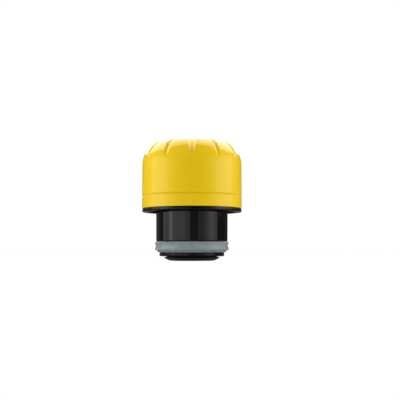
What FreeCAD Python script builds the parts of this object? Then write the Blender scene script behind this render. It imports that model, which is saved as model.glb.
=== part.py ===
"""Screw lid of an insulated drinks bottle, as a FreeCAD parametric document.

The lid stands on its plug's end, +Z up, with its axis on Z and its lowest face at z = 0. From the outside
in, it is a drawn steel cap with a fluted shoulder, a moulded liner that carries the neck thread, and a long
hollow plug with a double-lip seal, a flange that keeps the seal on and a cover that closes the plug's end.
"""

import FreeCAD, Part

import math
import os
import re

import Sketcher

# Driving dimensions in millimetres and degrees. Heights are measured from the face that the lid stands on.
SIZES = {
    # Cap shell: a straight wall, a shoulder arc and a shallow crown.
    "cap_diameter": 46.0,
    "shell_wall": 0.5,
    "rim_height": 24.0,
    "rim_rounding": 0.2,
    "wall_height": 20.42,
    "shoulder_radius": 10.8,
    "crown_radius": 85.0,
    "lock_groove_rise": 5.65,
    "lock_groove_radius": 0.33,
    # Flutes pressed into the shoulder: each bed is an arc that dips under the shoulder's own arc.
    "flute_count": 12,
    "flute_lean": 46.74,
    "flute_depth": 0.8,
    "flute_bed_radius": 14.67,
    "flute_section_radius": 1.75,
    "flute_sweep": 68.0,
    # Liner: skirt with the neck thread, roof, cup around the dome foam and the lip that shows under the cap.
    "liner_fit": 0.05,
    "lip_inset": 0.07,
    "lip_gap": 0.3,
    "lip_thickness": 1.4,
    "lip_rounding": 0.5,
    "lip_lead_in": 0.3,
    "skirt_wall": 2.15,
    "skirt_depth": 14.5,
    "roof_thickness": 2.5,
    "cup_drop": 1.2,
    "cup_wall": 1.6,
    "collar_wall": 1.2,
    "collar_depth": 2.0,
    "collar_fit": 0.1,
    # Neck thread inside the skirt.
    "thread_depth": 0.9,
    "thread_pitch": 4.5,
    "thread_turns": 1.5,
    "thread_lead": 2.9,
    "thread_root_width": 2.4,
    "thread_crest_width": 1.1,
    "thread_root_bite": 0.2,
    # Plug: a cup that is open at the top, with a recess below its floor.
    "channel_width": 3.7,
    "plug_draft": 0.15,
    "plug_edge_chamfer": 0.3,
    "plug_wall": 2.2,
    "plug_floor": 2.2,
    "recess_headroom": 1.1,
    "gland_height": 4.9,
    "gland_depth": 3.05,
    "gland_wall": 2.25,
    "flange_bottom": 2.1,
    "flange_thickness": 1.8,
    "flange_width": 1.5,
    "flange_chamfer": 0.25,
    # Flat gasket between the plug's rim and the liner's roof.
    "gasket_thickness": 0.8,
    "gasket_width": 1.7,
    "gasket_inset": 0.2,
    # Screws and washers that hold the plug to the roof.
    "screw_count": 3,
    "screw_diameter": 2.9,
    "screw_length": 9.5,
    "screw_point": 1.0,
    "screw_head_diameter": 5.6,
    "screw_head_height": 1.9,
    "screw_head_edge": 0.8,
    "screw_hole_play": 0.25,
    "screw_bite_play": 0.05,
    "recess_slot_width": 0.9,
    "recess_slot_length": 3.2,
    "recess_slot_depth": 1.1,
    "washer_diameter": 7.0,
    "washer_thickness": 0.5,
    "boss_wall": 1.4,
    "boss_overlap": 0.2,
    "boss_hole_depth": 8.5,
    # Insulation.
    "foam_play": 0.25,
    "head_pocket_play": 0.4,
    # Seal: two lips with a hollow between them, and a narrower foot under the lower lip.
    "seal_upper_lip_proud": 0.52,
    "seal_lower_lip_proud": 0.5,
    "seal_foot_overhang": 0.9,
    "seal_foot_height": 0.85,
    "seal_land_height": 0.4,
    "seal_hollow_depth": 0.33,
    "seal_top_slope": 0.25,
    "seal_lip_rounding": 0.4,
    "seal_fit": 0.05,
    # End cover: a bevelled disc with a spigot that snaps into the plug.
    "cover_overhang": 1.95,
    "cover_flat_inset": 3.9,
    "cover_bevel_inset": 1.6,
    "cover_bevel_height": 0.6,
    "cover_edge_drop": 0.55,
    "cover_plate": 2.0,
    "spigot_fit": 0.05,
    "spigot_length": 5.7,
    "spigot_wall": 2.8,
    "spigot_lead_in": 0.3,
    "snap_inset": 0.9,
    "snap_radius": 0.3,
    "o_ring_inset": 2.8,
    "o_ring_section": 1.5,
    "o_ring_play": 0.03,
    "o_ring_groove_width": 1.9,
}

# Dimensions that follow from the driving ones, from the cap inwards and from the top down.
WORKINGS = {
    "cap_radius": "cap_diameter / 2",
    "shoulder_height": "rim_height + wall_height",
    "shoulder_centre": "cap_radius - shoulder_radius",
    "crown_sine": "shoulder_centre / (crown_radius - shoulder_radius)",
    "crown_cosine": "sqrt(1 - crown_sine ^ 2)",
    "crown_centre": "shoulder_height - (crown_radius - shoulder_radius) * crown_cosine",
    "flute_shift": "flute_bed_radius + flute_depth - shoulder_radius",
    "lock_groove_height": "rim_height + lock_groove_rise",
    "liner_radius": "cap_radius - shell_wall - liner_fit",
    "lip_radius": "cap_radius - lip_inset",
    "lip_top": "rim_height - lip_gap",
    "lip_height": "lip_top - lip_thickness",
    "skirt_radius": "liner_radius - skirt_wall",
    "roof_height": "lip_height + skirt_depth",
    "roof_top": "roof_height + roof_thickness",
    "cup_top": "shoulder_height - cup_drop",
    "cup_radius": "liner_radius - cup_wall",
    "thread_start": "lip_height + thread_lead",
    "plug_top_radius": "skirt_radius - channel_width",
    "plug_end_radius": "plug_top_radius - plug_draft",
    "collar_bore_radius": "plug_top_radius + collar_fit",
    "plug_rim_height": "roof_height - gasket_thickness",
    "cavity_radius": "plug_end_radius - plug_wall",
    "seat_radius": "plug_end_radius - gland_depth",
    "bore_radius": "seat_radius - gland_wall",
    "flange_top": "flange_bottom + flange_thickness",
    "flange_radius": "seat_radius + flange_width",
    "plug_shoulder_height": "flange_top + gland_height",
    "spigot_radius": "bore_radius - spigot_fit",
    "spigot_top": "flange_bottom + spigot_length",
    "recess_roof_height": "spigot_top + recess_headroom",
    "cavity_floor": "recess_roof_height + plug_floor",
    "gasket_outer_radius": "plug_top_radius - gasket_inset",
    "screw_radius": "screw_diameter / 2",
    "screw_head_radius": "screw_head_diameter / 2",
    "screw_crown_rise": "screw_head_height - screw_head_edge",
    "boss_radius": "screw_radius + boss_wall",
    "screw_circle_radius": "cavity_radius + boss_overlap - boss_radius",
    "foam_inset": "cap_radius - cup_radius + foam_play",
    "seal_undercut_height": "flange_top + seal_foot_height",
    "seal_land_bottom": "seal_undercut_height + seal_lip_rounding",
    "seal_land_top": "seal_land_bottom + seal_land_height",
    "seal_upper_lip_height": "plug_shoulder_height - seal_top_slope - seal_lip_rounding",
    "seal_hollow_reach": "(seal_upper_lip_height - seal_land_top) / 2",
    "seal_foot_radius": "flange_radius + seal_foot_overhang",
    "seal_lower_lip_radius": "plug_end_radius + seal_lower_lip_proud",
    "seal_upper_lip_radius": "plug_end_radius + seal_upper_lip_proud",
    "cover_radius": "spigot_radius + cover_overhang",
    "cover_flat_radius": "cover_radius - cover_flat_inset",
    "cover_bevel_radius": "cover_radius - cover_bevel_inset",
    "cover_bevel_run": "cover_bevel_radius - cover_flat_radius",
    "cover_edge_height": "flange_bottom - cover_edge_drop",
    "snap_height": "spigot_top - snap_inset",
    "o_ring_height": "spigot_top - o_ring_inset",
    "o_ring_centre_radius": "bore_radius - (o_ring_section + o_ring_play) / 2",
    "o_ring_root_radius": "bore_radius - o_ring_section - o_ring_play",
}

FULL_TURN = 360.0
QUARTER_TURN = 90.0
LEFT = "left"
RIGHT = "right"


# --------------------------------------------------------------------------------------------------
# The sheets and the formulas that read them
# --------------------------------------------------------------------------------------------------


def formula(text):
    """A formula in the document's terms: each dimension's name gets its sheet's name in front."""

    def qualified(word):
        name = word.group()
        if name in SIZES:
            return "Sizes." + name
        if name in WORKINGS:
            return "Workings." + name
        return name

    return re.sub(r"[a-z][a-z_]*", qualified, text)


def add_sheet(document, name, cells):
    """A spreadsheet with one named cell a row."""
    sheet = document.addObject("Spreadsheet::Sheet", name)
    for row, (alias, content) in enumerate(cells.items(), start=1):
        sheet.set(f"A{row}", alias.replace("_", " "))
        sheet.set(f"B{row}", content)
        sheet.setAlias(f"B{row}", alias)
    document.recompute()
    return sheet


def value(owner, text):
    """The number that a formula gives now."""
    result = owner.evalExpression(formula(text))
    return float(getattr(result, "Value", result))


def bind(owner, path, text):
    """Ties a property of an object to a formula."""
    owner.setExpression(path, formula(text))


# --------------------------------------------------------------------------------------------------
# Sketches
# --------------------------------------------------------------------------------------------------


def origin_feature(body, role):
    """The body's own origin plane or axis with this role."""
    return next(feature for feature in body.Origin.OriginFeatures if feature.Role == role)


def add_sketch(body, name, plane, height="0"):
    """A sketch on one of the body's origin planes, raised along the plane's normal by a formula."""
    sketch = body.newObject("Sketcher::SketchObject", name)
    sketch.AttachmentSupport = [(origin_feature(body, plane), "")]
    sketch.MapMode = "FlatFace"
    if height != "0":
        bind(sketch, "AttachmentOffset.Base.z", height)
    return sketch


def dimension(sketch, label, kind, place, text):
    """A dimension of the sketch that a formula drives. A zero distance puts the point on an axis instead.

    In a sketch, geometry -1 is the horizontal axis, with the origin as its point 1, and -2 is the vertical
    axis.
    """
    if text == "0":
        axis = -2 if kind == "DistanceX" else -1
        sketch.addConstraint(Sketcher.Constraint("PointOnObject", *place, axis))
        return
    ends = place if kind == "Radius" else (-1, 1, *place)
    index = sketch.addConstraint(Sketcher.Constraint(kind, *ends, value(sketch, text)))
    sketch.renameConstraint(index, label)
    bind(sketch, f"Constraints.{label}", text)


def arc_between(start, end, radius, side):
    """The short arc from start to end, with its centre on the left or the right of the way there."""
    first, last = (start, end) if side == LEFT else (end, start)
    chord = last - first
    leftwards = FreeCAD.Vector(-chord.y, chord.x, 0).normalize()
    rise = math.sqrt(max(radius**2 - (chord.Length / 2) ** 2, 0.0))
    centre = (first + last) / 2 + leftwards * rise
    circle = Part.Circle(centre, FreeCAD.Vector(0, 0, 1), radius)
    return Part.ArcOfCircle(
        circle,
        math.atan2(first.y - centre.y, first.x - centre.x),
        math.atan2(last.y - centre.y, last.x - centre.x),
    )


def draw_outline(sketch, corners):
    """A closed outline through the corners, going round anticlockwise.

    A corner is (across, up) in formulas. A third item makes the edge to the next corner an arc: its radius,
    and the side of the way there that its centre is on.
    """
    points = [FreeCAD.Vector(value(sketch, c[0]), value(sketch, c[1]), 0) for c in corners]
    edges = []
    for index, corner in enumerate(corners):
        start = points[index]
        end = points[(index + 1) % len(points)]
        if len(corner) == 3:
            radius, side = corner[2]
            geometry = sketch.addGeometry(arc_between(start, end, value(sketch, radius), side))
            dimension(sketch, f"bend_{index}", "Radius", (geometry,), radius)
            ends = (1, 2) if side == LEFT else (2, 1)
        else:
            geometry = sketch.addGeometry(Part.LineSegment(start, end))
            ends = (1, 2)
        edges.append((geometry, *ends))
    for index, (geometry, start_end, far_end) in enumerate(edges):
        follower, follower_start, _ = edges[(index + 1) % len(edges)]
        joint = (geometry, far_end, follower, follower_start)
        sketch.addConstraint(Sketcher.Constraint("Coincident", *joint))
        dimension(sketch, f"across_{index}", "DistanceX", (geometry, start_end), corners[index][0])
        dimension(sketch, f"up_{index}", "DistanceY", (geometry, start_end), corners[index][1])


def draw_circle(sketch, across, up, radius):
    """A circle with its centre and radius given as formulas."""
    centre = FreeCAD.Vector(value(sketch, across), value(sketch, up), 0)
    circle = Part.Circle(centre, FreeCAD.Vector(0, 0, 1), value(sketch, radius))
    geometry = sketch.addGeometry(circle)
    dimension(sketch, "across", "DistanceX", (geometry, 3), across)
    dimension(sketch, "up", "DistanceY", (geometry, 3), up)
    dimension(sketch, "radius", "Radius", (geometry,), radius)


# --------------------------------------------------------------------------------------------------
# Features
# --------------------------------------------------------------------------------------------------


def add_body(document, name):
    """An empty body whose label is the piece's name."""
    body = document.addObject("PartDesign::Body", name)
    body.Label = name
    return body


def volume(body):
    """The body's volume now, or zero before its first feature."""
    body.Document.recompute()
    return 0.0 if body.Shape.isNull() else body.Shape.Volume


def finish_feature(body, feature, before, adds):
    """Recomputes the body and stops if the feature changed nothing or went the wrong way."""
    change = volume(body) - before
    if (change > 0) != adds or abs(change) < 1e-6:
        raise RuntimeError(f"{body.Label}: {feature.Name} changed the volume by {change:.6f}")
    return feature


def turn(body, name, sketch, adds=True, angle=FULL_TURN):
    """Revolves a sketch about its own vertical axis, to add or to cut."""
    before = volume(body)
    kind = "PartDesign::Revolution" if adds else "PartDesign::Groove"
    feature = body.newObject(kind, name)
    feature.Profile = sketch
    feature.ReferenceAxis = (sketch, ["V_Axis"])
    if angle == FULL_TURN:
        feature.Angle = FULL_TURN
    else:
        bind(feature, "Angle", angle)
        feature.Midplane = True
    return finish_feature(body, feature, before, adds)


def turn_outline(body, name, corners, adds=True):
    """Turns an outline of (radius, height) corners about the lid's axis."""
    sketch = add_sketch(body, name + "_outline", "XZ_Plane")
    draw_outline(sketch, corners)
    return turn(body, name, sketch, adds)


def turn_circle(body, name, radius_out, height, radius, adds=True):
    """Turns a round section about the lid's axis: a bead when it adds, a rolled groove when it cuts."""
    sketch = add_sketch(body, name + "_section", "XZ_Plane")
    draw_circle(sketch, radius_out, height, radius)
    return turn(body, name, sketch, adds)


def drill(body, name, across, radius, top, depth):
    """A round pocket from the height top down by depth, its centre across from the axis."""
    before = volume(body)
    sketch = add_sketch(body, name + "_circle", "XY_Plane", top)
    draw_circle(sketch, across, "0", radius)
    feature = body.newObject("PartDesign::Pocket", name)
    feature.Profile = sketch
    bind(feature, "Length", depth)
    return finish_feature(body, feature, before, adds=False)


def raise_post(body, name, across, radius, bottom, length):
    """A round post from the height bottom up by length, its centre across from the axis."""
    before = volume(body)
    sketch = add_sketch(body, name + "_circle", "XY_Plane", bottom)
    draw_circle(sketch, across, "0", radius)
    feature = body.newObject("PartDesign::Pad", name)
    feature.Profile = sketch
    bind(feature, "Length", length)
    return finish_feature(body, feature, before, adds=True)


def repeat_round(body, feature, count, angle=FULL_TURN):
    """Repeats the body's last feature about the lid's axis."""
    before = volume(body)
    adds = feature.TypeId in ("PartDesign::Pad", "PartDesign::Revolution")
    pattern = body.newObject("PartDesign::PolarPattern", feature.Name + "_pattern")
    pattern.Originals = [feature]
    pattern.Axis = (origin_feature(body, "Z_Axis"), [""])
    pattern.Angle = angle
    bind(pattern, "Occurrences", count)
    body.Tip = pattern
    return finish_feature(body, pattern, before, adds)


# --------------------------------------------------------------------------------------------------
# Cap shell
# --------------------------------------------------------------------------------------------------


def dome(inset):
    """The corners of the cap's outline from the top of its straight wall to its apex, inset all round."""
    shoulder = f"shoulder_radius - {inset}"
    crown = f"crown_radius - {inset}"
    return [
        (f"cap_radius - {inset}", "shoulder_height", (shoulder, LEFT)),
        (f"({crown}) * crown_sine", f"crown_centre + ({crown}) * crown_cosine", (crown, LEFT)),
        ("0", f"crown_centre + {crown}"),
    ]


def press_flutes(body, inset):
    """Cuts the flutes: a round section on an arc that dips under the shoulder, repeated round it."""
    sketch = add_sketch(body, "flute_section", "XY_Plane")
    towards_axis = FreeCAD.Rotation(FreeCAD.Vector(0, -1, 0), SIZES["flute_lean"])
    sketch.AttachmentOffset = FreeCAD.Placement(FreeCAD.Vector(), towards_axis)
    bind(sketch, "AttachmentOffset.Base.x", "shoulder_centre - flute_shift * cos(flute_lean)")
    bind(sketch, "AttachmentOffset.Base.z", "shoulder_height - flute_shift * sin(flute_lean)")
    bind(sketch, "AttachmentOffset.Rotation.Angle", "flute_lean")
    draw_circle(sketch, "flute_bed_radius + flute_section_radius", "0", f"flute_section_radius + {inset}")
    flute = turn(body, "flute", sketch, adds=False, angle="flute_sweep")
    repeat_round(body, flute, "flute_count")


def make_cap_shell(document):
    """The drawn cap: its outer form less an inner form one wall smaller, both fluted and grooved."""
    outer = add_body(document, "cap_outer_form")
    rim = [
        ("0", "rim_height"),
        ("cap_radius - rim_rounding", "rim_height", ("rim_rounding", LEFT)),
        ("cap_radius", "rim_height + rim_rounding"),
    ]
    turn_outline(outer, "outside", rim + dome("0"))
    press_flutes(outer, "0")
    turn_circle(outer, "lock_groove", "cap_radius", "lock_groove_height", "lock_groove_radius", adds=False)

    inner = add_body(document, "cap_inner_form")
    mouth = [
        ("0", "rim_height"),
        ("cap_radius - shell_wall", "rim_height"),
    ]
    turn_outline(inner, "inside", mouth + dome("shell_wall"))
    press_flutes(inner, "shell_wall")
    bulge = "lock_groove_radius + shell_wall"
    turn_circle(inner, "lock_groove", "cap_radius", "lock_groove_height", bulge, adds=False)

    shell = document.addObject("Part::Cut", "cap_shell")
    shell.Label = "cap_shell"
    shell.Base = outer
    shell.Tool = inner
    return shell


# --------------------------------------------------------------------------------------------------
# Liner
# --------------------------------------------------------------------------------------------------


def wind_thread_ridge(body):
    """The neck thread: a trapezoidal ridge that winds up the inside of the skirt."""
    before = volume(body)
    root = "skirt_radius + thread_root_bite"
    crest = "skirt_radius - thread_depth"
    flank = "(thread_root_width - thread_crest_width) / 2"
    sketch = add_sketch(body, "thread_section", "XZ_Plane")
    draw_outline(
        sketch,
        [
            (root, "thread_start"),
            (root, "thread_start + thread_root_width"),
            (crest, f"thread_start + thread_root_width - {flank}"),
            (crest, f"thread_start + {flank}"),
        ],
    )
    ridge = body.newObject("PartDesign::AdditiveHelix", "thread_ridge")
    ridge.Profile = sketch
    ridge.ReferenceAxis = (sketch, ["V_Axis"])
    ridge.Mode = "pitch-turns-angle"
    bind(ridge, "Pitch", "thread_pitch")
    bind(ridge, "Turns", "thread_turns")
    return finish_feature(body, ridge, before, adds=True)


def make_thread_liner(document):
    """The moulded liner: a roof, a threaded skirt with its lip, a cup above and a collar for the plug."""
    liner = add_body(document, "thread_liner")
    collar_outside = "collar_bore_radius + collar_wall"
    collar_bottom = "roof_height - collar_depth"
    turn_outline(
        liner,
        "section",
        [
            ("0", "roof_height"),
            ("collar_bore_radius", "roof_height"),
            ("collar_bore_radius", collar_bottom),
            (collar_outside, collar_bottom),
            (collar_outside, "roof_height"),
            ("skirt_radius", "roof_height"),
            ("skirt_radius", "lip_height + lip_lead_in"),
            ("skirt_radius + lip_lead_in", "lip_height"),
            ("lip_radius - lip_rounding", "lip_height", ("lip_rounding", LEFT)),
            ("lip_radius", "lip_height + lip_rounding"),
            ("lip_radius", "lip_top"),
            ("liner_radius", "lip_top"),
            ("liner_radius", "cup_top"),
            ("cup_radius", "cup_top"),
            ("cup_radius", "roof_top"),
            ("0", "roof_top"),
        ],
    )
    groove = "lock_groove_radius + shell_wall + liner_fit"
    turn_circle(liner, "lock_groove", "cap_radius", "lock_groove_height", groove, adds=False)
    hole_radius = "screw_radius + screw_hole_play"
    hole = drill(liner, "screw_hole", "screw_circle_radius", hole_radius, "roof_top", "roof_thickness")
    repeat_round(liner, hole, "screw_count")
    wind_thread_ridge(liner)
    return liner


# --------------------------------------------------------------------------------------------------
# Plug
# --------------------------------------------------------------------------------------------------


def make_plug_body(document):
    """The plug: a cup open at the top, the seal's seat and flange, the cover's recess and screw bosses."""
    plug = add_body(document, "plug_body")
    turn_outline(
        plug,
        "section",
        [
            ("0", "recess_roof_height"),
            ("bore_radius", "recess_roof_height"),
            ("bore_radius", "flange_bottom"),
            ("flange_radius - flange_chamfer", "flange_bottom"),
            ("flange_radius", "flange_bottom + flange_chamfer"),
            ("flange_radius", "flange_top"),
            ("seat_radius", "flange_top"),
            ("seat_radius", "plug_shoulder_height"),
            ("plug_end_radius - plug_edge_chamfer", "plug_shoulder_height"),
            ("plug_end_radius", "plug_shoulder_height + plug_edge_chamfer"),
            ("plug_top_radius", "plug_rim_height"),
            ("cavity_radius", "plug_rim_height"),
            ("cavity_radius", "cavity_floor"),
            ("0", "cavity_floor"),
        ],
    )
    groove = "snap_radius + spigot_fit"
    turn_circle(plug, "snap_groove", "spigot_radius", "snap_height", groove, adds=False)
    boss_length = "roof_height - cavity_floor"
    boss = raise_post(plug, "boss", "screw_circle_radius", "boss_radius", "cavity_floor", boss_length)
    repeat_round(plug, boss, "screw_count")
    pilot = "screw_radius + screw_bite_play"
    hole = drill(plug, "boss_hole", "screw_circle_radius", pilot, "roof_height", "boss_hole_depth")
    repeat_round(plug, hole, "screw_count")
    return plug


def make_seal_ring(document):
    """The silicone seal between the plug's shoulder and the flange, with two lips proud of the plug."""
    seal = add_body(document, "seal_ring")
    bore = "seat_radius + seal_fit"
    hollow_radius = "(seal_hollow_reach ^ 2 + seal_hollow_depth ^ 2) / (2 * seal_hollow_depth)"
    hollow_arc = (hollow_radius, RIGHT)
    lip_arc = ("seal_lip_rounding", LEFT)
    turn_outline(
        seal,
        "section",
        [
            (bore, "flange_top"),
            ("seal_foot_radius", "flange_top"),
            ("seal_foot_radius", "seal_undercut_height"),
            ("seal_lower_lip_radius - seal_lip_rounding", "seal_undercut_height", lip_arc),
            ("seal_lower_lip_radius", "seal_land_bottom"),
            ("seal_lower_lip_radius", "seal_land_top", hollow_arc),
            ("seal_upper_lip_radius", "seal_upper_lip_height", lip_arc),
            ("seal_upper_lip_radius - seal_lip_rounding", "seal_upper_lip_height + seal_lip_rounding"),
            ("plug_end_radius - plug_edge_chamfer", "plug_shoulder_height"),
            (bore, "plug_shoulder_height"),
        ],
    )
    return seal


def make_end_cover(document):
    """The end cover: a bevelled disc, a hollow spigot with a snap bead, and a groove for the O-ring."""
    cover = add_body(document, "end_cover")
    foot_arc = "(cover_bevel_run ^ 2 + cover_bevel_height ^ 2) / (2 * cover_bevel_height)"
    turn_outline(
        cover,
        "section",
        [
            ("0", "0"),
            ("cover_flat_radius", "0", (foot_arc, LEFT)),
            ("cover_bevel_radius", "cover_bevel_height"),
            ("cover_radius", "cover_edge_height"),
            ("spigot_radius", "flange_bottom"),
            ("spigot_radius", "spigot_top - spigot_lead_in"),
            ("spigot_radius - spigot_lead_in", "spigot_top"),
            ("spigot_radius - spigot_wall", "spigot_top"),
            ("spigot_radius - spigot_wall", "cover_plate"),
            ("0", "cover_plate"),
        ],
    )
    turn_circle(cover, "snap_bead", "spigot_radius", "snap_height", "snap_radius")
    low = "o_ring_height - o_ring_groove_width / 2"
    high = "o_ring_height + o_ring_groove_width / 2"
    turn_outline(
        cover,
        "o_ring_groove",
        [
            ("o_ring_root_radius", low),
            ("bore_radius", low),
            ("bore_radius", high),
            ("o_ring_root_radius", high),
        ],
        adds=False,
    )
    return cover


def make_cover_o_ring(document):
    """The O-ring that seals the end cover's spigot in the plug's bore."""
    ring = document.addObject("Part::Torus", "cover_o_ring")
    ring.Label = "cover_o_ring"
    bind(ring, "Radius1", "o_ring_centre_radius")
    bind(ring, "Radius2", "o_ring_section / 2")
    bind(ring, "Placement.Base.z", "o_ring_height")
    return ring


# --------------------------------------------------------------------------------------------------
# Insulation
# --------------------------------------------------------------------------------------------------


def make_plug_foam(document):
    """The foam core that fills the plug's cavity between the screw bosses."""
    foam = add_body(document, "plug_foam")
    length = "roof_height - foam_play - cavity_floor"
    raise_post(foam, "core", "0", "cavity_radius - foam_play", "cavity_floor", length)
    channel_radius = "boss_radius + foam_play"
    top = "cavity_floor + " + length
    channel = drill(foam, "boss_channel", "screw_circle_radius", channel_radius, top, length)
    repeat_round(foam, channel, "screw_count")
    return foam


def make_dome_foam(document):
    """The foam block on the liner's roof: it follows the dome and has pockets over the screw heads."""
    foam = add_body(document, "dome_foam")
    base = [
        ("0", "roof_top"),
        ("cap_radius - foam_inset", "roof_top"),
    ]
    turn_outline(foam, "block", base + dome("foam_inset"))
    pocket_radius = "washer_diameter / 2 + head_pocket_play"
    pocket_depth = "washer_thickness + screw_head_height + head_pocket_play"
    top = "roof_top + " + pocket_depth
    pocket = drill(foam, "head_pocket", "screw_circle_radius", pocket_radius, top, pocket_depth)
    repeat_round(foam, pocket, "screw_count")
    return foam


# --------------------------------------------------------------------------------------------------
# Gasket, screws and washers
# --------------------------------------------------------------------------------------------------


def add_cylinder(document, name, radius, height, base):
    """A cylinder with its radius, height and base height given as formulas."""
    cylinder = document.addObject("Part::Cylinder", name)
    bind(cylinder, "Radius", radius)
    bind(cylinder, "Height", height)
    bind(cylinder, "Placement.Base.z", base)
    return cylinder


def add_ring(document, name, radius_out, radius_in, height, base):
    """A flat ring with its sizes given as formulas."""
    ring = document.addObject("Part::Cut", name)
    ring.Label = name
    ring.Base = add_cylinder(document, name + "_disc", radius_out, height, base)
    ring.Tool = add_cylinder(document, name + "_hole", radius_in, height, base)
    return ring


def make_plug_gasket(document):
    """The flat gasket on the plug's rim, pressed against the liner's roof."""
    inner = "gasket_outer_radius - gasket_width"
    return add_ring(
        document, "plug_gasket", "gasket_outer_radius", inner, "gasket_thickness", "plug_rim_height"
    )


def put_on_screw_circle(piece, index):
    """Moves a piece from the lid's axis to its place on the screw circle."""
    angle = f"{FULL_TURN} * {index} / screw_count"
    bind(piece, "Placement.Base.x", f"screw_circle_radius * cos({angle})")
    bind(piece, "Placement.Base.y", f"screw_circle_radius * sin({angle})")


def make_washer(document, index):
    """One of the washers under the screw heads."""
    name = f"screw_washer_{index + 1}"
    inner = "screw_radius + screw_hole_play"
    washer = add_ring(document, name, "washer_diameter / 2", inner, "washer_thickness", "roof_top")
    put_on_screw_circle(washer, index)
    return washer


def make_screw(document, index):
    """One of the pan-head screws, its head up, made on the axis with its head's underside at z = 0."""
    screw = add_body(document, f"plug_screw_{index + 1}")
    crown_arc = "(screw_head_radius ^ 2 + screw_crown_rise ^ 2) / (2 * screw_crown_rise)"
    turn_outline(
        screw,
        "blank",
        [
            ("0", "-screw_length"),
            ("screw_radius", "screw_point - screw_length"),
            ("screw_radius", "0"),
            ("screw_head_radius", "0"),
            ("screw_head_radius", "screw_head_edge", (crown_arc, LEFT)),
            ("0", "screw_head_height"),
        ],
    )
    before = volume(screw)
    half_length = "recess_slot_length / 2"
    half_width = "recess_slot_width / 2"
    slot_sketch = add_sketch(screw, "slot_outline", "XY_Plane", "screw_head_height")
    draw_outline(
        slot_sketch,
        [
            (f"-{half_length}", f"-{half_width}"),
            (half_length, f"-{half_width}"),
            (half_length, half_width),
            (f"-{half_length}", half_width),
        ],
    )
    slot = screw.newObject("PartDesign::Pocket", "slot")
    slot.Profile = slot_sketch
    bind(slot, "Length", "recess_slot_depth")
    finish_feature(screw, slot, before, adds=False)
    repeat_round(screw, slot, "2", QUARTER_TURN)
    put_on_screw_circle(screw, index)
    bind(screw, "Placement.Base.z", "roof_top + washer_thickness")
    return screw


# --------------------------------------------------------------------------------------------------
# The whole lid
# --------------------------------------------------------------------------------------------------


def check(document, pieces):
    """Stops if an object failed or a piece's shape isn't one valid solid."""
    for item in document.Objects:
        if {"Invalid", "Error"} & set(item.State):
            raise RuntimeError(f"{item.Name} failed: {item.State}")
    for piece in pieces:
        shape = piece.Shape
        if shape.isNull() or not shape.isValid() or len(shape.Solids) != 1:
            raise RuntimeError(f"{piece.Label} isn't one valid solid")


def main():
    document = FreeCAD.newDocument("bottle_lid")
    add_sheet(document, "Sizes", {name: str(size) for name, size in SIZES.items()})
    add_sheet(document, "Workings", {name: "=" + formula(text) for name, text in WORKINGS.items()})
    pieces = [
        make_cap_shell(document),
        make_dome_foam(document),
        make_thread_liner(document),
        make_plug_gasket(document),
        make_plug_body(document),
        make_plug_foam(document),
        make_seal_ring(document),
        make_end_cover(document),
        make_cover_o_ring(document),
    ]
    for index in range(SIZES["screw_count"]):
        pieces.append(make_screw(document, index))
        pieces.append(make_washer(document, index))
    document.recompute()
    check(document, pieces)
    os.makedirs("parts", exist_ok=True)
    for piece in pieces:
        piece.Shape.exportStep(f"parts/{piece.Label}.step")
        box = piece.Shape.BoundBox
        print(f"{piece.Label}: {piece.Shape.Volume:.1f} mm3, z {box.ZMin:.2f} to {box.ZMax:.2f}")


main()
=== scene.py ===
"""Looks of an insulated bottle's screw lid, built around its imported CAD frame.

Lengths are in millimetres until a mesh is made, and metres after that. A class's fields hold angles in
degrees. +Z is up, the lid's axis is Z, and the lid stands on its plug's end.
"""

import logging
import math
from collections.abc import Sequence
from dataclasses import dataclass, replace
from enum import Enum
from typing import ClassVar

import bpy
import numpy as np
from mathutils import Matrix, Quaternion, Vector


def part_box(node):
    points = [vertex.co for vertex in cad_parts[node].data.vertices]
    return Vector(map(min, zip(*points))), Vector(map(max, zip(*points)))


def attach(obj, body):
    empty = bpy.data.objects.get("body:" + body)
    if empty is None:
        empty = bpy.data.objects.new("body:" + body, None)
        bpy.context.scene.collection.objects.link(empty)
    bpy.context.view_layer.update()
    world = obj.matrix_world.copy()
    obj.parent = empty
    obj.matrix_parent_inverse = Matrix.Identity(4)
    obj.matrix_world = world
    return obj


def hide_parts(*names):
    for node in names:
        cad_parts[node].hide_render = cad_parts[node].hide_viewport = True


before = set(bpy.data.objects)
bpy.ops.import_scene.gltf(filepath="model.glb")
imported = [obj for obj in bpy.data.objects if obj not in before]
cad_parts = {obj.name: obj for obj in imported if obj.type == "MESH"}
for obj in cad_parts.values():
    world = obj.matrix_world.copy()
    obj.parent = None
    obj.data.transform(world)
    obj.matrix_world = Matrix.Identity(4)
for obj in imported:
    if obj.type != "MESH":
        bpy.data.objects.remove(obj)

LOG = logging.getLogger("bottle_lid")
MM = 0.001
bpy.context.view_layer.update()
BODY = "root"
WHITE = (1.0, 1.0, 1.0, 1.0)
# A rounding takes at most this share of the stretches beside it.
LONGEST_ROUNDING = 0.45
# A row nearer the axis than this, in millimetres, is the axis itself.
AXIS_REACH = 1e-6
# The stretch of a pattern, from 0 to 1, over which a finish goes from its one end to the other.
PATTERN_LOW, PATTERN_HIGH = 0.3, 0.7
NOISE_ROUGHNESS = 0.55

Row = tuple[float, float]
Tree = bpy.types.NodeTree
Socket = bpy.types.NodeSocket
Material = bpy.types.Material
Piece = bpy.types.Object


# ---- Outlines and meshes ----


class Fullness(Enum):
    """How finely a turned piece is divided round its axis."""

    MAIN = 384
    FINE = 64


@dataclass(frozen=True)
class Corner:
    """A corner of a turned piece's outline.

    Attributes:
        radius: Distance from the axis.
        height: Height above the face that the lid stands on.
        blend: Radius of the rounding at this corner, or 0 for none.
    """

    radius: float
    height: float
    blend: float = 0.0


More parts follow.
